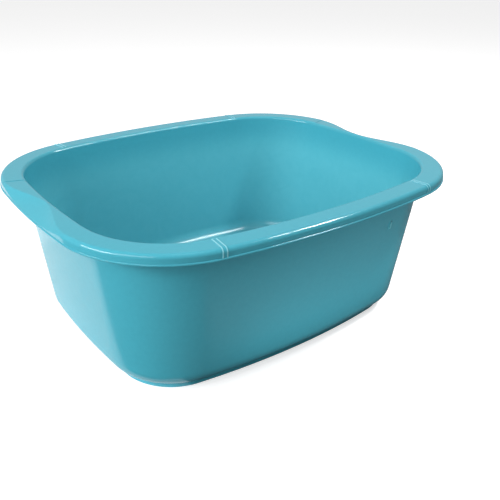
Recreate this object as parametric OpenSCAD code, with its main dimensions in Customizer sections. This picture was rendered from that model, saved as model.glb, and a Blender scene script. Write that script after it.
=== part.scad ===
// Washing up bowl: one injection moulding in thin polypropylene, shown as its natural regions.
// The plan is a rounded rectangle whose four sides are bowed. Every level of the bowl is a
// parallel offset of one outline, so each region is a section turned about the centre of its arc.
// Frame: X runs along the length, the front is -Y, Z is up, the origin is under the middle.

/* [Size] */
// Length over the rim, end to end
bowl_length = 380; // [340:1:460]
// Width over the rim, front to back
bowl_width = 310; // [280:1:360]
// Height from the foot to the top of the rim
bowl_height = 142; // [90:1:200]
// Corner radius at the inside edge of the rim
corner_radius = 76; // [60:1:90]
// How far each end bows outward
end_bow = 2; // [1:0.5:4]
// How far each long side bows outward
side_bow = 6.5; // [3:0.5:10]

/* [Walls] */
// Thickness of the moulding
wall = 2; // [1.4:0.1:3]
// Slope of the walls from upright, in degrees
draft = 7.4; // [3:0.1:12]
// Inside radius between the walls and the floor
floor_roll = 16; // [8:0.5:26]

/* [Rim] */
// Width of the rim from its inside edge to the lip
rim_width = 19; // [16:0.5:26]
// Radius between the rim and the inside of the walls
rim_inner_radius = 3; // [1.5:0.5:4]
// Radius of the rim's outer shoulder
rim_outer_radius = 3.4; // [2.4:0.2:5]
// Depth of the turned-down skirt, top to lip
skirt_depth = 8.5; // [8:0.5:16]
// How far the bead on the lip stands out
bead_out = 0.7; // [0.3:0.1:1.2]
// Height of the bead on the lip
bead_height = 1.8; // [1:0.1:2]

/* [Handles] */
// Angle at which the two ends of a handle flare outward, in degrees
handle_flare = 18; // [12:1:30]
// Width of the flat left along the inside of a handle, at its middle
scoop_flat = 0.9; // [0.9:0.1:5]
// Height of the upright edge that the scoop runs out to, above the lip
scoop_edge = 2.3; // [2.1:0.1:4]
// Radius of the crest between the flat and the scoop
crest_radius = 4; // [2:0.5:5]
// Radius between the scoop and its upright edge
scoop_edge_radius = 0.6; // [0.3:0.1:1]
// Step down from the rim to the top of a handle
handle_step = 0.3; // [0.1:0.05:0.6]

/* [Rim bands] */
// Width of the raised band across each end of the long rims, over its two ribs
band_width = 4.2; // [3:0.1:8]
// Height of the two ribs along a band's edges
band_rib_height = 0.4; // [0.2:0.05:0.8]
// Width of each rib
band_rib_width = 0.9; // [0.5:0.1:1.4]
// Height of the strip between the ribs
band_strip_height = 0.12; // [0.1:0.02:0.2]

/* [Foot] */
// Height of the foot ring
foot_height = 3.5; // [2:0.5:6]
// Width of the foot ring
foot_width = 4; // [3:0.5:8]
// Inset of the foot ring from where the wall would meet the table
foot_inset = 8.5; // [6:0.5:14]
// Radius along the lower edges of the foot ring
foot_round = 0.8; // [0.4:0.1:1.4]

/* [Nib] */
// Distance of the small moulded nib below the top of the rim, to its middle
nib_drop = 39.5; // [25:0.5:60]
// Height of the nib
nib_height = 8; // [4:0.5:12]
// Width of the nib
nib_width = 2; // [1:0.1:4]
// How far the nib stands out
nib_out = 0.8; // [0.4:0.1:1.5]
// Distance of the nib from the corner end of the front wall
nib_inset = 5; // [3:1:20]

/* [Hidden] */
turquoise = "#4BA9C0";

// Facets of a full turn, and steps along each rounded edge and along a handle
turn_facets = 360;
edge_steps = 8;
small_steps = 4;
bead_steps = 6;
roll_steps = 14;
outline_steps = 24;
handle_steps = 44;

// Outline of the rim's inside edge: half sizes at the middle of the sides, and arc centres
half_x = bowl_length / 2 - rim_width;
half_y = bowl_width / 2 - rim_width;
corner_x = half_x - corner_radius - end_bow;
corner_y = half_y - corner_radius - side_bow;
end_arc = (corner_y ^ 2 + end_bow ^ 2) / (2 * end_bow);
side_arc = (corner_x ^ 2 + side_bow ^ 2) / (2 * side_bow);
end_angle = asin(corner_y / end_arc);
side_angle = asin(corner_x / side_arc);
end_centre = corner_x + end_bow - end_arc;
side_centre = corner_y + side_bow - side_arc;
end_radius = end_arc + corner_radius;
side_radius = side_arc + corner_radius;

// Section of the moulding: offsets are measured outward from the rim's inside edge
wall_across = wall / cos(draft);
wall_lean = tan(draft);
wall_top_offset = wall_across - rim_inner_radius / 2;
lip_z = bowl_height - skirt_depth;
bead_top = lip_z + bead_height;
skirt_offset = rim_width - bead_out;
leg_round_offset = wall_inside(bowl_height - rim_inner_radius) + rim_inner_radius / cos(draft);
roll_outer = floor_roll + wall;
roll_z = foot_height + roll_outer;
roll_offset = wall_outside(roll_z) - roll_outer / cos(draft);
foot_outside = wall_outside(0) - foot_inset;
foot_inside = foot_outside - foot_width;
handle_top = bowl_height - handle_step;

// Smallest radius, and smallest step, left under the rim where the shoulder is tight
least_radius = 0.4;
least_step = 0.2;

// A handle's scoop starts and ends as a shoulder like the rim's, falling at 45 degrees: how far
// the corners of that slope lie from the skirt and from the top, and the shoulder's radius
scoop_end_cut = (rim_outer_radius - handle_step) * (1 - tan(45 / 2));
scoop_end_radius = rim_outer_radius - 2 * handle_step;

function wall_outside(z) = wall_top_offset - wall_lean * (bowl_height - z);
function wall_inside(z) = wall_outside(z) - wall_across;
function arc(x, z, r, from, to, steps) =
    [for (i = [0 : steps]) let (a = from + (to - from) * i / steps) [x + r * cos(a), z + r * sin(a)]];
function reversed(points) = [for (i = [len(points) - 1 : -1 : 0]) points[i]];
function without_last(points) = [for (i = [0 : len(points) - 2]) points[i]];

// Outside of the bead on the lip, from its top to its foot
function bead_line() = [
    for (i = [0 : bead_steps])
        let (a = 90 - 180 * i / bead_steps)
        [skirt_offset + bead_out * cos(a), lip_z + bead_height / 2 * (1 + sin(a))]
];

// Inside face of the rim's inner leg and its radius, from the leg's foot up to the given top
function inner_leg_line(top) = concat(
    [[wall_inside(lip_z), lip_z]],
    arc(leg_round_offset - wall_lean * (bowl_height - top), top - rim_inner_radius,
        rim_inner_radius, 180 - draft, 90, edge_steps)
);

// Outer shoulder of the rim, or a line parallel to it that lies the given height above
function shoulder_line(height) =
    arc(skirt_offset - rim_outer_radius, bowl_height - rim_outer_radius,
        rim_outer_radius + height, 90, 0, edge_steps);

// Closed section of the plain rim, an upside-down channel
rim_under_radius = max(rim_outer_radius - wall, least_radius);
rim_under = bowl_height - wall;
rim_section = concat(
    inner_leg_line(bowl_height),
    shoulder_line(0),
    bead_line(),
    [[skirt_offset - wall, lip_z]],
    arc(skirt_offset - wall - rim_under_radius, rim_under - rim_under_radius,
        rim_under_radius, 0, 90, edge_steps),
    [[wall_outside(rim_under), rim_under], [wall_outside(lip_z), lip_z]]
);

// Closed section of a wall with the roll that carries it into the floor
roll_line = arc(roll_offset, roll_z, roll_outer, -90, -draft, roll_steps);
wall_section = concat(
    roll_line,
    [[wall_outside(lip_z), lip_z], [wall_inside(lip_z), lip_z]],
    arc(roll_offset, roll_z, floor_roll, -draft, -90, roll_steps)
);

// Closed section of the foot ring: rounded along its two lower edges, shaped to the roll on top
foot_section = concat(
    [[foot_outside, lookup(foot_outside, roll_line)]],
    arc(foot_outside - foot_round, foot_round, foot_round, 0, -90, small_steps),
    arc(foot_inside + foot_round, foot_round, foot_round, -90, -180, small_steps),
    [[foot_inside, lookup(foot_inside, roll_line)]],
    [for (p = roll_line) if (p[0] > foot_inside && p[0] < foot_outside) p]
);

// Closed section of a raised band, which lies on the rim's flat, shoulder and skirt
function band_section(height) = concat(
    [[leg_round_offset, bowl_height], [leg_round_offset + height, bowl_height + height]],
    shoulder_line(height),
    [[skirt_offset + height, bead_top], [skirt_offset, bead_top]],
    reversed(shoulder_line(0))
);

// Closed section of the nib, with both ends sloped back to the wall
nib_top = bowl_height - nib_drop + nib_height / 2;
nib_foot = nib_top - nib_height;
nib_section = [
    [wall_outside(nib_foot), nib_foot],
    [wall_outside(nib_foot + nib_out) + nib_out, nib_foot + nib_out],
    [wall_outside(nib_top - nib_out) + nib_out, nib_top - nib_out],
    [wall_outside(nib_top), nib_top]
];

// Turns a section about the middle of an arc of the plan, on the +X +Y side
module turn_section(section, radius, from, sweep) {
    rotate([0, 0, from])
        rotate_extrude(angle = sweep, $fn = turn_facets)
            polygon([for (p = section) [radius + p[0], p[1]]]);
}

module along_side(section) {
    translate([0, side_centre, 0])
        turn_section(section, side_radius, 90 - side_angle, 2 * side_angle);
}

module along_end(section) {
    translate([end_centre, 0, 0])
        turn_section(section, end_radius, -end_angle, 2 * end_angle);
}

module along_corner(section) {
    translate([corner_x, corner_y, 0])
        turn_section(section, corner_radius, end_angle, 90 - end_angle - side_angle);
}

// Places a piece modelled at +X +Y in the quarter with the given signs
module in_quarter(sign_x, sign_y) {
    mirror([sign_x < 0 ? 1 : 0, 0, 0])
        mirror([0, sign_y < 0 ? 1 : 0, 0])
            children();
}

module side_wall(sign_y) {
    color(turquoise) in_quarter(1, sign_y) along_side(wall_section);
}

module end_wall(sign_x) {
    color(turquoise) in_quarter(sign_x, 1) along_end(wall_section);
}

module wall_corner(sign_x, sign_y) {
    color(turquoise) in_quarter(sign_x, sign_y) along_corner(wall_section);
}

module side_rim(sign_y) {
    color(turquoise) in_quarter(1, sign_y) along_side(rim_section);
}

// Outline of one level, half of it and then the half opposite
function half_outline(offset) = concat(
    without_last(arc(corner_x, corner_y, corner_radius + offset,
        end_angle, 90 - side_angle, outline_steps)),
    without_last(arc(0, side_centre, side_radius + offset,
        90 - side_angle, 90 + side_angle, outline_steps)),
    without_last(arc(-corner_x, corner_y, corner_radius + offset,
        90 + side_angle, 180 - end_angle, outline_steps)),
    without_last(arc(-end_centre, 0, end_radius + offset,
        180 - end_angle, 180 + end_angle, outline_steps))
);
function level_outline(offset) = concat(half_outline(offset), [for (p = half_outline(offset)) -p]);

module floor_panel() {
    color(turquoise)
        translate([0, 0, foot_height])
            linear_extrude(wall)
                polygon(level_outline(roll_offset));
}

// Triangles between successive rows of points, each row being one closed section
function skin(rows, count, closed) = [
    for (i = [0 : closed ? rows - 1 : rows - 2], j = [0 : count - 1])
        let (
            k = (i + 1) % rows,
            a = i * count + j,
            b = i * count + (j + 1) % count,
            c = k * count + (j + 1) % count,
            d = k * count + j
        )
        each [[a, d, b], [b, d, c]]
];

module foot_ring() {
    outlines = [for (p = foot_section) level_outline(p[0])];
    count = len(foot_section);
    rows = len(outlines[0]);
    points = [
        for (i = [0 : rows - 1], j = [0 : count - 1])
            [outlines[j][i][0], outlines[j][i][1], foot_section[j][1]]
    ];
    color(turquoise) polyhedron(points = points, faces = skin(rows, count, true));
}

// Line across the rim where a handle ends: it starts where the corner arc starts, at the
// inner leg's foot, and flares outward
leg_radius = corner_radius + wall_inside(lip_z);
handle_end = [
    corner_x + leg_radius * cos(end_angle),
    corner_y + leg_radius * sin(end_angle)
];

// Half length of a handle on the level that lies the given offset out
function handle_half(offset) =
    let (
        b = leg_radius * cos(end_angle - handle_flare),
        reach = -b + sqrt(b ^ 2 - leg_radius ^ 2 + (corner_radius + offset) ^ 2)
    )
    handle_end[1] + reach * sin(handle_flare);

// Distance of a level from the bowl's middle at a place along the end
function level_x(offset, y) =
    abs(y) <= corner_y + (corner_radius + offset) * sin(end_angle)
    ? end_centre + sqrt((end_radius + offset) ^ 2 - y ^ 2)
    : corner_x + sqrt((corner_radius + offset) ^ 2 - (abs(y) - corner_y) ^ 2);

module rim_corner(sign_x, sign_y) {
    cut = 2 * rim_width;
    color(turquoise)
        in_quarter(sign_x, sign_y)
            difference() {
                along_corner(rim_section);
                translate([handle_end[0], handle_end[1], 0])
                    rotate([0, 0, handle_flare])
                        translate([-cut, -cut, lip_z - cut])
                            cube([3 * cut, cut, skirt_depth + 2 * cut]);
            }
}

// Section of a handle at one station, from 0 in the middle to 1 at either end. In the middle
// the flat gives way to a scoop that falls from a crest to the upright edge above the lip.
function between(middle, end, share) = middle + (end - middle) * share;
function handle_section(station) =
    let (
        share = (1 - cos(180 * abs(station))) / 2,
        late = share ^ 3,
        crest = between(leg_round_offset + scoop_flat, skirt_offset - scoop_end_cut, share),
        edge_z = between(lip_z + scoop_edge, handle_top - scoop_end_cut, late),
        fall = atan2(handle_top - edge_z, skirt_offset - crest),
        crest_r = between(crest_radius, scoop_end_radius, share),
        crest_run = crest_r * tan(fall / 2),
        edge_r = between(scoop_edge_radius, scoop_end_radius, late),
        edge_run = edge_r * tan((90 - fall) / 2),
        inner_edge = skirt_offset - wall,
        under_edge = handle_top - wall / cos(fall) - (inner_edge - crest) * tan(fall)
    )
    concat(
        inner_leg_line(handle_top),
        arc(crest - crest_run, handle_top - crest_r, crest_r, 90, 90 - fall, edge_steps),
        arc(skirt_offset - edge_r, edge_z - edge_run, edge_r, 90 - fall, 0, small_steps),
        bead_line(),
        [[inner_edge, lip_z], [inner_edge, max(under_edge, lip_z + least_step)]],
        [[crest - wall * tan(fall / 2), handle_top - wall]],
        [[wall_outside(handle_top - wall), handle_top - wall], [wall_outside(lip_z), lip_z]]
    );

module handle(sign_x) {
    stations = [for (i = [0 : handle_steps]) 2 * i / handle_steps - 1];
    sections = [for (station = stations) handle_section(station)];
    count = len(sections[0]);
    points = [
        for (i = [0 : handle_steps], p = sections[i])
            let (y = stations[i] * handle_half(p[0]))
            [level_x(p[0], y), y, p[1]]
    ];
    near_end = [for (j = [0 : count - 1]) j];
    far_end = [for (j = reversed(near_end)) handle_steps * count + j];
    color(turquoise)
        in_quarter(sign_x, 1)
            polyhedron(
                points = points,
                faces = concat([near_end], skin(handle_steps + 1, count, false), [far_end])
            );
}

// One strip of a raised band, straight across the rim
module band_strip(width, height) {
    linear_extrude(width, center = true)
        polygon([for (p = band_section(height)) [corner_radius + p[0], p[1]]]);
}

// Raised band where the corner meets the side: a low strip with a rib along either edge
module rim_band(sign_x, sign_y) {
    rib_shift = (band_width - band_rib_width) / 2;
    color(turquoise)
        in_quarter(sign_x, sign_y)
            translate([corner_x, corner_y, 0])
                rotate([90, 0, 90 - side_angle]) {
                    band_strip(band_width, band_strip_height);
                    for (shift = [-rib_shift, rib_shift])
                        translate([0, 0, shift])
                            band_strip(band_rib_width, band_rib_height);
                }
}

module wall_nib() {
    sweep = asin(nib_width / side_radius);
    middle = acos((corner_x - nib_inset) / side_radius);
    color(turquoise)
        in_quarter(1, -1)
            translate([0, side_centre, 0])
                turn_section(nib_section, side_radius, middle - sweep / 2, sweep);
}

floor_panel();
foot_ring();
side_wall(-1);  // front_wall
side_wall(1);  // back_wall
end_wall(-1);  // left_end_wall
end_wall(1);  // right_end_wall
wall_corner(-1, -1);  // front_left_corner
wall_corner(1, -1);  // front_right_corner
wall_corner(-1, 1);  // back_left_corner
wall_corner(1, 1);  // back_right_corner
side_rim(-1);  // front_rim
side_rim(1);  // back_rim
rim_corner(-1, -1);  // front_left_rim_corner
rim_corner(1, -1);  // front_right_rim_corner
rim_corner(-1, 1);  // back_left_rim_corner
rim_corner(1, 1);  // back_right_rim_corner
handle(-1);  // left_handle
handle(1);  // right_handle
rim_band(-1, -1);  // front_left_rim_band
rim_band(1, -1);  // front_right_rim_band
rim_band(-1, 1);  // back_left_rim_band
rim_band(1, 1);  // back_right_rim_band
wall_nib();
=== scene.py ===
import math

import bpy
from mathutils import Matrix, Vector


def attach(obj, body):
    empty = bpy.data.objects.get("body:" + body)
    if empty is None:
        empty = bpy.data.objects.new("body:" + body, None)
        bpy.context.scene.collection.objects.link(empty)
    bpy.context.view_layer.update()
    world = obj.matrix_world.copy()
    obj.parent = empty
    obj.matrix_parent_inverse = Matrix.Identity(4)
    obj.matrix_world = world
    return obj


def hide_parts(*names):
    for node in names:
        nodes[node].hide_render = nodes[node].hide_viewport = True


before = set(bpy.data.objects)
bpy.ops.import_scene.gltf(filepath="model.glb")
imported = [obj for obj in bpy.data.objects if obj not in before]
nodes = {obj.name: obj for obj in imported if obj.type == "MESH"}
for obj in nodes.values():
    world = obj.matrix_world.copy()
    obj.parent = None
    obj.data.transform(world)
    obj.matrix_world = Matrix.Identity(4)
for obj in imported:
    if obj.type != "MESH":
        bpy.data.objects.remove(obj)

scene = bpy.context.scene
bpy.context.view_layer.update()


# --- Floor panel ---
# The flat bottom of the bowl. Like all of it, it is polypropylene coloured in the mass,
# moulded against a steel tool, which leaves a soft gloss with a very fine grain.
turquoise = (0.050, 0.325, 0.412, 1)
# a paler turquoise laid on the inside below the rim: painted light, not wear
painted_light_turquoise = (0.12, 0.48, 0.56, 1)
painted_light_starts, painted_light_full = 0.134, 0.100  # heights in the bowl, in metres
grain_scale, wave_scale, pigment_scale, light_patch_scale = 1400, 28, 260, 60
grain_share = 0.03  # of the relief; the slow waves give the rest
relief_depth = 0.0004
plastic_ior = 1.49


def grain_and_light_group():
    group = bpy.data.node_groups.new("grain_and_painted_light", "ShaderNodeTree")
    for name, way, kind in (
        ("Colour", "INPUT", "NodeSocketColor"),
        ("Mottle", "INPUT", "NodeSocketFloat"),
        ("Roughness", "INPUT", "NodeSocketFloat"),
        ("Painted light", "INPUT", "NodeSocketFloat"),
        ("Colour", "OUTPUT", "NodeSocketColor"),
        ("Roughness", "OUTPUT", "NodeSocketFloat"),
        ("Height", "OUTPUT", "NodeSocketFloat"),
    ):
        group.interface.new_socket(name, in_out=way, socket_type=kind)
    tree, link = group.nodes, group.links.new
    given = tree.new("NodeGroupInput")
    result = tree.new("NodeGroupOutput")
    place = tree.new("ShaderNodeTexCoord")

    def cloud(scale, detail, distortion=0):
        texture = tree.new("ShaderNodeTexNoise")
        texture.inputs["Scale"].default_value = scale
        texture.inputs["Detail"].default_value = detail
        texture.inputs["Distortion"].default_value = distortion
        link(place.outputs["Object"], texture.inputs["Vector"])
        return texture.outputs["Fac"]

    def spread(texture, low, high):
        """Most of a cloud lies between 0.3 and 0.7, which is spread here from low to high."""
        spreading = tree.new("ShaderNodeMapRange")
        spreading.inputs["From Min"].default_value = 0.3
        spreading.inputs["From Max"].default_value = 0.7
        spreading.inputs["To Min"].default_value = low
        spreading.inputs["To Max"].default_value = high
        link(texture, spreading.inputs["Value"])
        return spreading.outputs[0]

    # fine grain of the tool's surface on slow waves of the cooled skin
    height = tree.new("ShaderNodeMath")
    height.operation = "MULTIPLY_ADD"
    height.inputs[1].default_value = grain_share
    link(cloud(grain_scale, 2), height.inputs[0])
    link(cloud(wave_scale, 1), height.inputs[2])
    link(height.outputs[0], result.inputs["Height"])

    # pigment that has not quite mixed in, which shows in the gloss and in the colour
    pigment = cloud(pigment_scale, 4)
    rough = tree.new("ShaderNodeMath")
    rough.operation = "ADD"
    link(given.outputs["Roughness"], rough.inputs[0])
    link(spread(pigment, -0.02, 0.02), rough.inputs[1])
    link(rough.outputs[0], result.inputs["Roughness"])
    tone = tree.new("ShaderNodeMath")
    tone.operation = "MULTIPLY_ADD"
    tone.inputs[2].default_value = 1
    link(spread(pigment, -1, 1), tone.inputs[0])
    link(given.outputs["Mottle"], tone.inputs[1])
    shade = tree.new("ShaderNodeHueSaturation")
    link(tone.outputs[0], shade.inputs["Value"])
    link(given.outputs["Colour"], shade.inputs["Color"])

    # below the rim the inside is painted paler, painted light that lifts the inside of the bowl,
    # in soft patches
    height_of = tree.new("ShaderNodeSeparateXYZ")
    link(place.outputs["Object"], height_of.inputs[0])
    depth = tree.new("ShaderNodeMapRange")
    depth.interpolation_type = "SMOOTHSTEP"
    depth.inputs["From Min"].default_value = painted_light_starts
    depth.inputs["From Max"].default_value = painted_light_full
    link(height_of.outputs["Z"], depth.inputs["Value"])
    painted_light_amount = tree.new("ShaderNodeMath")
    painted_light_amount.operation = "MULTIPLY"
    link(depth.outputs[0], painted_light_amount.inputs[0])
    link(spread(cloud(light_patch_scale, 5, distortion=1.5), 0.9, 1.1), painted_light_amount.inputs[1])
    share = tree.new("ShaderNodeMath")
    share.operation = "MULTIPLY"
    link(painted_light_amount.outputs[0], share.inputs[0])
    link(given.outputs["Painted light"], share.inputs[1])
    painted_light_mix = tree.new("ShaderNodeMix")
    painted_light_mix.data_type = "RGBA"
    painted_light_mix.inputs["B"].default_value = painted_light_turquoise
    link(share.outputs[0], painted_light_mix.inputs["Factor"])
    link(shade.outputs[0], painted_light_mix.inputs["A"])
    link(painted_light_mix.outputs["Result"], result.inputs["Colour"])
    return group


grain_and_painted_light = grain_and_light_group()


def polypropylene(name, roughness, mottle, relief, painted_light=0):
    plastic = bpy.data.materials.new(name)
    plastic.use_nodes = True
    tree, link = plastic.node_tree.nodes, plastic.node_tree.links.new
    surface = tree["Principled BSDF"]
    surface.inputs["IOR"].default_value = plastic_ior
    grain = tree.new("ShaderNodeGroup")
    grain.name = "grain"
    grain.node_tree = grain_and_painted_light
    grain.inputs["Colour"].default_value = turquoise
    grain.inputs["Mottle"].default_value = mottle
    grain.inputs["Roughness"].default_value = roughness
    grain.inputs["Painted light"].default_value = painted_light
    bump = tree.new("ShaderNodeBump")
    bump.inputs["Strength"].default_value = relief
    bump.inputs["Distance"].default_value = relief_depth
    link(grain.outputs["Colour"], surface.inputs["Base Color"])
    link(grain.outputs["Roughness"], surface.inputs["Roughness"])
    link(grain.outputs["Height"], bump.inputs["Height"])
    link(bump.outputs["Normal"], surface.inputs["Normal"])
    return plastic


# the inside skin takes the painted light below the rim
inside_skin = polypropylene("inside_skin", roughness=0.22, mottle=0.02, relief=0.25, painted_light=0.55)


def give_skins(piece, *skins):
    piece.data.materials.clear()
    for skin in skins:
        piece.data.materials.append(skin)


give_skins(nodes["floor_panel"], inside_skin)


# --- Foot ring ---
# A low rib round the underside that keeps the floor off the table. It is moulded in one
# with the floor, just inside the roll where the walls turn in.
outside_skin = polypropylene("outside_skin", roughness=0.2, mottle=0.02, relief=0.2)
give_skins(nodes["foot_ring"], outside_skin)


# --- Long walls ---
# The front and back walls bow outward a little and lean out at 7 degrees, so that the
# moulding leaves its tool. Each turns into the floor in a wide roll.
half_length, half_width, rim_height = 171.0, 136.0, 142.0  # in mm, as all sizes of the shell
corner_radius, end_bow, side_bow = 76.0, 2.0, 6.5
corner_x = half_length - corner_radius - end_bow
corner_y = half_width - corner_radius - side_bow
end_arc = (corner_y ** 2 + end_bow ** 2) / (2 * end_bow)
side_arc = (corner_x ** 2 + side_bow ** 2) / (2 * side_bow)
end_angle = math.asin(corner_y / end_arc)
side_angle = math.asin(corner_x / side_arc)
quarter = math.pi / 2

# the plan as arcs, each a centre, a radius and the two angles between which it runs
side_path = (0, corner_y + side_bow - side_arc, side_arc + corner_radius,
             quarter - side_angle, quarter + side_angle)
end_path = (corner_x + end_bow - end_arc, 0, end_arc + corner_radius, -end_angle, end_angle)
corner_path = (corner_x, corner_y, corner_radius, end_angle, quarter - side_angle)
side_steps, end_steps, corner_steps = 24, 16, 48

wall = 2.0
lean = math.radians(7.4)
across = wall / math.cos(lean)
lip_z = rim_height - 8.5
foot_height = 3.5
inner_roll, outer_roll = 16.0, 18.0
roll_steps, wall_steps = 24, 6
rim_inner_radius = 3.0


def wall_outside(z):
    """How far the wall's outer face stands outside the plan at a height."""
    return across - rim_inner_radius / 2 - math.tan(lean) * (rim_height - z)


def rounded(x, z, radius, first, last, steps, facing=1):
    """A rounded stretch of a section as points (offset, height, out, up).

    Out and up are the way the surface faces there.
    """
    points = []
    for i in range(steps + 1):
        a = first + (last - first) * i / steps
        c, s = math.cos(a), math.sin(a)
        points.append((x + radius * c, z + radius * s, facing * c, facing * s))
    return points


def straight(start, end, faces, steps=1):
    """A straight stretch of a section as points (offset, height, out, up)."""
    points = []
    for i in range(steps + 1):
        offset = start[0] + (end[0] - start[0]) * i / steps
        height = start[1] + (end[1] - start[1]) * i / steps
        points.append((offset, height, *faces))
    return points


def carried_along(run, path, steps, start=None):
    """Carries a run of a section along an arc of the plan and gives a grid of (point, normal).

    Where start is given, it is the angle at which each offset begins.
    """
    cx, cy, radius, first, last = path
    grid = []
    for i in range(steps + 1):
        row = []
        for offset, z, out, up in run:
            begin = first if start is None else start(offset)
            a = begin + (last - begin) * i / steps
            c, s = math.cos(a), math.sin(a)
            reach = radius + offset
            row.append(((cx + reach * c, cy + reach * s, z), (out * c, out * s, up)))
        grid.append(row)
    return grid


same_place = 1e-4  # mm


def end_face(grids, end, neighbour):
    """The outline of a piece at one end, wound so that it faces away, and its normal."""
    outline = []
    for grid in grids:
        for point, _ in grid[end]:
            if not outline or (Vector(point) - outline[-1]).length > same_place:
                outline.append(Vector(point))
    if (outline[0] - outline[-1]).length < same_place:
        outline.pop()
    away = sum((Vector(g[end][0][0]) - Vector(g[neighbour][0][0]) for g in grids), Vector())
    sides = zip(outline, outline[1:] + outline[:1])
    facing = sum((a.cross(b) for a, b in sides), Vector())
    if facing.dot(away) < 0:
        outline.reverse()
        facing = -facing
    return outline, facing


def shell_piece(name, grids, skins, grid_skins, mirror):
    """Builds one piece of the shell. Its first skin also covers the end faces."""
    vertices, normals, faces, face_skins = [], [], [], []

    def add(point, normal):
        x, y, z = point[0] * mirror[0], point[1] * mirror[1], point[2]
        vertices.append((x / 1000, y / 1000, z / 1000))
        turned = Vector((normal[0] * mirror[0], normal[1] * mirror[1], normal[2]))
        normals.append(turned.normalized())

    for grid, skin in zip(grids, grid_skins):
        base, rows, columns = len(vertices), len(grid), len(grid[0])
        for row in grid:
            for point, normal in row:
                add(point, normal)
        for i in range(rows - 1):
            for j in range(columns - 1):
                a = base + i * columns + j
                loop = [a, a + 1, a + columns + 1, a + columns]
                p = [Vector(vertices[k]) for k in loop]
                facing = (p[2] - p[0]).cross(p[3] - p[1])
                if facing.dot(normals[loop[0]] + normals[loop[2]]) < 0:
                    loop.reverse()
                faces.append(loop)
                face_skins.append(skin)
    for end, neighbour in ((0, 1), (-1, -2)):
        outline, facing = end_face(grids, end, neighbour)
        if mirror[0] * mirror[1] < 0:
            outline.reverse()
        faces.append(list(range(len(vertices), len(vertices) + len(outline))))
        face_skins.append(0)
        for point in outline:
            add(point, facing)
    mesh = bpy.data.meshes.new(name)
    mesh.from_pydata(vertices, [], faces)
    mesh.shade_smooth()
    mesh.normals_split_custom_set_from_vertices([tuple(n) for n in normals])
    piece = bpy.data.objects.new(name, mesh)
    scene.collection.objects.link(piece)
    give_skins(piece, *skins)
    mesh.polygons.foreach_set("material_index", face_skins)
    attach(piece, "root")
    return piece


roll_z = foot_height + outer_roll
roll_offset = wall_outside(roll_z) - outer_roll / math.cos(lean)
wall_top = (wall_outside(lip_z), lip_z)
wall_top_inside = (wall_outside(lip_z) - across, lip_z)
outer_face = (math.cos(lean), -math.sin(lean))
inner_face = (-math.cos(lean), math.sin(lean))
roll_under = rounded(roll_offset, roll_z, outer_roll, -lean, -quarter, roll_steps)
roll_inside = rounded(roll_offset, roll_z, inner_roll, -quarter, -lean, roll_steps, facing=-1)
wall_runs = [
    # down the outside and round under the roll
    straight(wall_top, roll_under[0][:2], outer_face, wall_steps)[:-1] + roll_under,
    # where it meets the floor panel
    straight(roll_under[-1][:2], roll_inside[0][:2], (-1, 0)),
    # round the inside of the roll and up the inside
    roll_inside + straight(roll_inside[-1][:2], wall_top_inside, inner_face, wall_steps)[1:],
    # where it meets the rim
    straight(wall_top_inside, wall_top, (0, 1)),
]
wall_run_skins = [0, 0, 1, 0]


def wall_piece(node, path, steps, mirror):
    grids = [carried_along(run, path, steps) for run in wall_runs]
    piece = shell_piece(node + "_skin", grids, [outside_skin, inside_skin],
                        wall_run_skins, mirror)
    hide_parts(node)


wall_piece("front_wall", side_path, side_steps, (1, -1))
wall_piece("back_wall", side_path, side_steps, (1, 1))


# --- End walls ---
# The short walls under the two handles, all but flat, of the same plastic and thickness.
# They have the same lean as the long walls and the same roll into the floor.
wall_piece("left_end_wall", end_path, end_steps, (-1, 1))
wall_piece("right_end_wall", end_path, end_steps, (1, 1))


# --- Wall corners ---
# Wide cone-shaped corners of the same plastic, which join the long walls to the ends, so
# that nothing catches in them and the tool releases the moulding.
for side, sx in (("left", -1), ("right", 1)):
    for face, sy in (("front", -1), ("back", 1)):
        wall_piece(f"{face}_{side}_corner", corner_path, corner_steps, (sx, sy))


# --- Long rims ---
# Moulded in one with the walls: flat on top, with a rounded shoulder and a short skirt
# turned down outside. A fine bead stiffens the lip, and the rim is open underneath.
rim_skin = polypropylene("rim_skin", roughness=0.12, mottle=0.015, relief=0.12)
rim_outer_radius, bead_out, bead_height = 3.4, 0.7, 1.8
rim_width = 18.975  # a hair less than the solids, so that it stays inside their facets
shoulder_steps, under_steps, leg_steps, bead_steps, flat_steps = 14, 6, 12, 12, 3
skirt_offset = rim_width - bead_out
inner_skirt = skirt_offset - wall
bead_top = lip_z + bead_height
rim_under = rim_height - wall
rim_under_edge = (wall_outside(rim_under), rim_under)
leg_round = (wall_outside(rim_height - rim_inner_radius) - across
             + rim_inner_radius / math.cos(lean))


def bead():
    """Half an ellipse down the outside of the lip."""
    points = []
    for i in range(bead_steps + 1):
        a = quarter - math.pi * i / bead_steps
        c, s = math.cos(a), math.sin(a)
        out, up = c / bead_out, s / (bead_height / 2)
        size = math.hypot(out, up)
        z = lip_z + bead_height / 2 * (1 + s)
        points.append((skirt_offset + bead_out * c, z, out / size, up / size))
    return points


def leg(top):
    """Up the inside of the bowl from the wall and over the inner edge of the rim."""
    turn = rounded(leg_round - math.tan(lean) * (rim_height - top), top - rim_inner_radius,
                   rim_inner_radius, math.pi - lean, quarter, leg_steps)
    return straight(wall_top_inside, turn[0][:2], inner_face)[:-1] + turn


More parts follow.
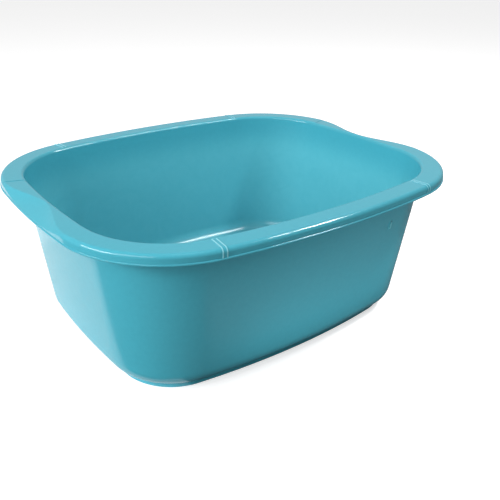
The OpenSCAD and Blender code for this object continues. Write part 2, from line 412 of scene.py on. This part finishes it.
shoulder = rounded(skirt_offset - rim_outer_radius, rim_height - rim_outer_radius,
                   rim_outer_radius, quarter, 0, shoulder_steps)
under_radius = rim_outer_radius - wall
under_shoulder = rounded(inner_skirt - under_radius, rim_under - under_radius,
                         under_radius, 0, quarter, under_steps, facing=-1)
rim_leg = leg(rim_height)
rim_flat = straight(rim_leg[-1][:2], shoulder[0][:2], (0, 1), flat_steps)
rim_runs = [
    rim_leg + rim_flat[1:-1] + shoulder + [(skirt_offset, bead_top, 1, 0)],
    bead(),
    # the foot of the skirt, then its inside and the underside of the flat
    straight((skirt_offset, lip_z), (inner_skirt, lip_z), (0, -1)),
    [(inner_skirt, lip_z, -1, 0)] + under_shoulder + [(*rim_under_edge, 0, -1)],
    straight(rim_under_edge, wall_top, outer_face),
]
rim_run_skins = [0, 0, 0, 1, 1]


def rim_piece(node, path, steps, mirror, start=None):
    grids = [carried_along(run, path, steps, start) for run in rim_runs]
    piece = shell_piece(node + "_skin", grids, [rim_skin, outside_skin], rim_run_skins, mirror)
    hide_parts(node)


rim_piece("front_rim", side_path, side_steps, (1, -1))
rim_piece("back_rim", side_path, side_steps, (1, 1))


# --- Rim corners ---
# The same rim carried round each corner. At the ends of the bowl each stops on a slanting
# line, where the handle begins.
flare = math.radians(18)
leg_radius = corner_radius + wall_top_inside[0]
handle_end_y = corner_y + leg_radius * math.sin(end_angle)


def handle_half(offset):
    """Half the length of a handle, which grows with the offset from the plan."""
    b = leg_radius * math.cos(end_angle - flare)
    reach = -b + math.sqrt(b ** 2 - leg_radius ** 2 + (corner_radius + offset) ** 2)
    return handle_end_y + reach * math.sin(flare)


def corner_start(offset):
    return math.asin((handle_half(offset) - corner_y) / (corner_radius + offset))


for side, sx in (("left", -1), ("right", 1)):
    for face, sy in (("front", -1), ("back", 1)):
        rim_piece(f"{face}_{side}_rim_corner", corner_path, corner_steps, (sx, sy), corner_start)


# --- Handles ---
# At each end the rim is scooped: its flat narrows to a thin band and the rest falls to a low
# upright edge, so that a hand finds the grip with its thumb on top and fingers underneath.
handle_step = 0.3
handle_top = rim_height - handle_step
end_cut = (rim_outer_radius - handle_step) * (1 - math.tan(quarter / 4))
end_round = rim_outer_radius - 2 * handle_step
middle_flat, middle_edge = 0.9, 2.3  # width of the flat, and height of the edge over the lip
middle_crest_round, middle_edge_round = 4.0, 0.6
lip_clearance = 0.2
handle_steps, crest_steps, edge_steps, fall_steps = 72, 12, 8, 4


def between(middle, end, share):
    return middle + (end - middle) * share


def handle_runs(station):
    """The section at a station, which is 0 in the middle of the handle and 1 at its ends."""
    share = (1 - math.cos(math.pi * min(abs(station), 1))) / 2
    late = share ** 3
    crest = between(leg_round + middle_flat, skirt_offset - end_cut, share)
    edge_z = between(lip_z + middle_edge, handle_top - end_cut, late)
    fall = math.atan2(handle_top - edge_z, skirt_offset - crest)
    crest_radius = between(middle_crest_round, end_round, share)
    crest_run = crest_radius * math.tan(fall / 2)
    edge_radius = between(middle_edge_round, end_round, late)
    edge_run = edge_radius * math.tan((quarter - fall) / 2)
    slope = (math.sin(fall), math.cos(fall))
    crest_line = rounded(crest - crest_run, handle_top - crest_radius,
                         crest_radius, quarter, quarter - fall, crest_steps)
    edge_line = rounded(skirt_offset - edge_radius, edge_z - edge_run,
                        edge_radius, quarter - fall, 0, edge_steps)
    fall_line = straight(crest_line[-1][:2], edge_line[0][:2], slope, fall_steps)
    fall_under = handle_top - wall / math.cos(fall) - (inner_skirt - crest) * math.tan(fall)
    low = max(fall_under, lip_z + lip_clearance)
    turn = (crest - wall * math.tan(fall / 2), handle_top - wall)
    inner_top = (wall_outside(handle_top - wall), handle_top - wall)
    return [
        leg(handle_top) + crest_line + fall_line[1:-1] + edge_line
        + [(skirt_offset, bead_top, 1, 0)],
        bead(),
        # the foot of the edge, its inside, and the undersides of the fall and of the flat
        straight((skirt_offset, lip_z), (inner_skirt, lip_z), (0, -1)),
        straight((inner_skirt, lip_z), (inner_skirt, low), (-1, 0)),
        straight((inner_skirt, low), turn, (-slope[0], -slope[1])),
        straight(turn, inner_top, (0, -1)),
        straight(inner_top, wall_top, outer_face),
    ]


handle_run_skins = [0, 0, 0, 1, 1, 1, 1]


def level_x(offset, y):
    """How far out the plan, grown by an offset, reaches at a y."""
    if abs(y) <= corner_y + (corner_radius + offset) * math.sin(end_angle):
        return end_path[0] + math.sqrt((end_path[2] + offset) ** 2 - y ** 2)
    return corner_x + math.sqrt((corner_radius + offset) ** 2 - (abs(y) - corner_y) ** 2)


def on_handle(station, offset, z):
    y = station * handle_half(offset)
    return Vector((level_x(offset, y), y, z))


def handle_piece(node, mirror):
    tiny = 1e-3
    grids = []
    for i in range(handle_steps + 1):
        station = 2 * i / handle_steps - 1
        rows = []
        ahead, behind = handle_runs(station + tiny), handle_runs(station - tiny)
        for r, run in enumerate(handle_runs(station)):
            row = []
            for j, (offset, z, out, up) in enumerate(run):
                along = (on_handle(station + tiny, *ahead[r][j][:2])
                         - on_handle(station - tiny, *behind[r][j][:2]))
                round_section = (on_handle(station, offset - up * tiny, z + out * tiny)
                                 - on_handle(station, offset + up * tiny, z - out * tiny))
                row.append((on_handle(station, offset, z), along.cross(round_section)))
            rows.append(row)
        grids.append(rows)
    piece = shell_piece(node + "_skin", list(zip(*grids)), [rim_skin, outside_skin],
                        handle_run_skins, mirror)
    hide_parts(node)


handle_piece("left_handle", (-1, 1))
handle_piece("right_handle", (1, 1))


# --- Rim bands ---
# A low band moulded across the long rims where each meets a corner, running over the
# shoulder and down the skirt, with a fine rib along either edge. The ribs are painted
# paler, a painted highlight along each rib where its rounded edge would catch the light.
band_width, rib_width = 4.2, 0.9
rib_shift = (band_width - rib_width) / 2
rib_highlight_turquoise = (0.19, 0.52, 0.60, 1)
band_skin = polypropylene("band_skin", roughness=0.12, mottle=0.015, relief=0.12)
tree, link = band_skin.node_tree.nodes, band_skin.node_tree.links.new
place = tree.new("ShaderNodeTexCoord")
one_corner = tree.new("ShaderNodeVectorMath")
one_corner.operation = "ABSOLUTE"
link(place.outputs["Object"], one_corner.inputs[0])
from_corner = tree.new("ShaderNodeVectorMath")
from_corner.operation = "SUBTRACT"
from_corner.inputs[1].default_value = (corner_x / 1000, corner_y / 1000, 0)
link(one_corner.outputs[0], from_corner.inputs[0])
along_rim = tree.new("ShaderNodeVectorMath")
along_rim.operation = "DOT_PRODUCT"
along_rim.inputs[1].default_value = (math.cos(side_angle), -math.sin(side_angle), 0)
link(from_corner.outputs[0], along_rim.inputs[0])
from_middle = tree.new("ShaderNodeMath")
from_middle.operation = "ABSOLUTE"
link(along_rim.outputs["Value"], from_middle.inputs[0])
rib = tree.new("ShaderNodeMath")
rib.operation = "COMPARE"
rib.inputs[1].default_value = rib_shift / 1000
rib.inputs[2].default_value = rib_width / 2000
link(from_middle.outputs[0], rib.inputs[0])
# the ribs get a paler colour, a painted highlight along each
rib_highlight = tree.new("ShaderNodeMix")
rib_highlight.data_type = "RGBA"
rib_highlight.inputs["B"].default_value = rib_highlight_turquoise
link(rib.outputs[0], rib_highlight.inputs["Factor"])
link(tree["grain"].outputs["Colour"], rib_highlight.inputs["A"])
link(rib_highlight.outputs["Result"], tree["Principled BSDF"].inputs["Base Color"])
for side in ("left", "right"):
    for face in ("front", "back"):
        give_skins(nodes[f"{face}_{side}_rim_band"], band_skin)


# --- Nib ---
# A small upright nib of the same plastic, moulded on the outside of the front wall near its
# right end. It is painted paler, a painted highlight, as the ribs of the bands are.
# the nib's paler colour is a painted highlight
nib_skin = polypropylene("nib_skin", roughness=0.2, mottle=0.02, relief=0.2, painted_light=0.9)
give_skins(nodes["wall_nib"], nib_skin)


# --- Table and light ---
# A white sheet that ends in front of the bowl, on a darker studio floor, in a room that is
# brighter behind. The floor's darker grey is painted shade, standing for the floor shaded in
# front of the bowl. Soft boxes stand on both sides. Those that only fill do not show in the
# gloss, and neither does a small card on the table that lights the front from below.
ground_seen = (0.6, 0.6, 0.6, 1)
ground_lift = 0.6  # with the grey above, the camera sees the ground white, but for the shadow


def ground(name, corners, level, colour, gloss_glow):
    paint = bpy.data.materials.new(name)
    paint.use_nodes = True
    tree, link = paint.node_tree.nodes, paint.node_tree.links.new
    surface = tree["Principled BSDF"]
    surface.inputs["Roughness"].default_value = 0.9
    surface.inputs["Emission Color"].default_value = (1, 1, 1, 1)
    ray = tree.new("ShaderNodeLightPath")
    tint = tree.new("ShaderNodeMix")
    tint.data_type = "RGBA"
    tint.inputs["A"].default_value = colour
    tint.inputs["B"].default_value = ground_seen
    link(ray.outputs["Is Camera Ray"], tint.inputs["Factor"])
    link(tint.outputs["Result"], surface.inputs["Base Color"])
    # in the gloss the ground glows a little, though it is no lamp: a painted reflection
    in_gloss = tree.new("ShaderNodeMath")
    in_gloss.operation = "MULTIPLY"
    in_gloss.inputs[1].default_value = gloss_glow
    link(ray.outputs["Is Glossy Ray"], in_gloss.inputs[0])
    lift = tree.new("ShaderNodeMath")
    lift.operation = "MULTIPLY_ADD"
    lift.inputs[1].default_value = ground_lift
    link(ray.outputs["Is Camera Ray"], lift.inputs[0])
    link(in_gloss.outputs[0], lift.inputs[2])
    link(lift.outputs[0], surface.inputs["Emission Strength"])
    mesh = bpy.data.meshes.new(name)
    mesh.from_pydata([(x, y, level) for x, y in corners], [], [(0, 1, 2, 3)])
    piece = bpy.data.objects.new(name, mesh)
    scene.collection.objects.link(piece)
    give_skins(piece, paint)


sheet_corner = Vector((-0.125, -0.116))
sheet_left, sheet_back = 2 * Vector((-0.61, 0.79)), 3 * Vector((0.79, 0.61))
sheet_corners = [sheet_corner, sheet_corner + sheet_back,
                 sheet_corner + sheet_back + sheet_left, sheet_corner + sheet_left]
floor_corners = [(-6, -6), (6, -6), (6, 6), (-6, 6)]
sheet_thickness = 0.00005
# the sheet's glow in the gloss is a painted reflection
ground("white_sheet", sheet_corners, level=0, colour=(0.86, 0.86, 0.86, 1), gloss_glow=0.15)
# painted shade: this floor is dark in the gloss and the bounce, and white to the camera
ground("studio_floor", floor_corners, level=-sheet_thickness, colour=(0.12, 0.12, 0.12, 1),
       gloss_glow=0)

room_bright_side = Vector((0.1, 0.9, 0.25)).normalized()
room_dark, room_bright = 0.26, 0.53
world = bpy.data.worlds.new("room")
world.use_nodes = True
scene.world = world
tree, link = world.node_tree.nodes, world.node_tree.links.new
room = tree["Background"]
room.inputs["Color"].default_value = (1, 1, 1, 1)
ray = tree.new("ShaderNodeLightPath")
toward = tree.new("ShaderNodeTexCoord")
near_bright = tree.new("ShaderNodeVectorMath")
near_bright.operation = "DOT_PRODUCT"
near_bright.inputs[1].default_value = room_bright_side
link(toward.outputs["Generated"], near_bright.inputs[0])
level = tree.new("ShaderNodeMapRange")
level.interpolation_type = "SMOOTHSTEP"
level.inputs["From Min"].default_value = -0.5
level.inputs["From Max"].default_value = 0.7
level.inputs["To Min"].default_value = room_dark
level.inputs["To Max"].default_value = room_bright
link(near_bright.outputs["Value"], level.inputs["Value"])
seen = tree.new("ShaderNodeMix")
seen.inputs["B"].default_value = 1
link(ray.outputs["Is Camera Ray"], seen.inputs["Factor"])
link(level.outputs[0], seen.inputs["A"])
link(seen.outputs["Result"], room.inputs["Strength"])

bowl_middle = Vector((0, 0, 0.07))
before_front_rim = Vector((0.10, -0.19, 0.104))


def soft_box(name, azimuth, elevation, distance, size, watts, aim=bowl_middle, mirrored=True):
    """A box that faces its aim. Azimuth is counted from the right of the bowl to its back."""
    data = bpy.data.lights.new(name, "AREA")
    data.shape = "RECTANGLE"
    data.size, data.size_y = size
    data.energy = watts
    a, e = math.radians(azimuth), math.radians(elevation)
    away = Vector((math.cos(a) * math.cos(e), math.sin(a) * math.cos(e), math.sin(e)))
    made = bpy.data.objects.new(name, data)
    made.location = away * distance + aim
    made.rotation_euler = away.to_track_quat("Z", "Y").to_euler()
    made.visible_camera = False
    made.visible_glossy = mirrored
    scene.collection.objects.link(made)


soft_box("key_box", 204, 37, distance=1.9, size=(1.0, 0.7), watts=8.5)
soft_box("left_box", 200, 18, distance=1.7, size=(1.3, 0.7), watts=13.5, mirrored=False)
soft_box("low_left_box", 160, 8, distance=1.7, size=(0.8, 0.4), watts=3.3, mirrored=False)
soft_box("left_window", 173, 26, distance=1.7, size=(0.9, 0.2), watts=14)
soft_box("right_box", 338, 51, distance=1.6, size=(0.22, 0.22), watts=13.5)
soft_box("right_strip", 326, 55, distance=1.6, size=(0.30, 0.06), watts=3.8)
soft_box("top_box", 270, 80, distance=1.6, size=(0.6, 0.6), watts=1)
soft_box("front_card", 270, -90, distance=0.1, size=(0.36, 0.08), watts=0.21,
         aim=before_front_rim, mirrored=False)

scene.view_settings.view_transform = "Standard"


# --- Camera ---
# Stands about 0.6 m from the bowl, a little to the left of its front and looking down into
# it. From so near, the near corner looks much larger than the far one.
view_azimuth = math.radians(-35.89)
view_elevation = math.radians(24.70)
view_roll = math.radians(0.46)
view_distance = 0.6106
picture_pixels, focal_pixels = 500, 626.08
principal_x, principal_y = 225.36, 233.16
sensor_width = 36.0
view_back = Vector((
    math.sin(view_azimuth) * math.cos(view_elevation),
    -math.cos(view_azimuth) * math.cos(view_elevation),
    math.sin(view_elevation),
))
view_right = (-view_back).cross(Vector((0, 0, 1))).normalized()
view_up = view_right.cross(-view_back)
right_axis = math.cos(view_roll) * view_right + math.sin(view_roll) * view_up
up_axis = -math.sin(view_roll) * view_right + math.cos(view_roll) * view_up
camera_data = bpy.data.cameras.new("camera")
camera_data.sensor_width = sensor_width
camera_data.lens = focal_pixels * sensor_width / picture_pixels
camera_data.shift_x = (picture_pixels / 2 - principal_x) / picture_pixels
camera_data.shift_y = (principal_y - picture_pixels / 2) / picture_pixels
camera_data.clip_start = 0.01
camera = bpy.data.objects.new("camera", camera_data)
scene.collection.objects.link(camera)
camera.matrix_world = Matrix.Translation(view_back * view_distance + bowl_middle) @ Matrix((
    (right_axis.x, up_axis.x, view_back.x, 0),
    (right_axis.y, up_axis.y, view_back.y, 0),
    (right_axis.z, up_axis.z, view_back.z, 0),
    (0, 0, 0, 1),
))
scene.camera = camera
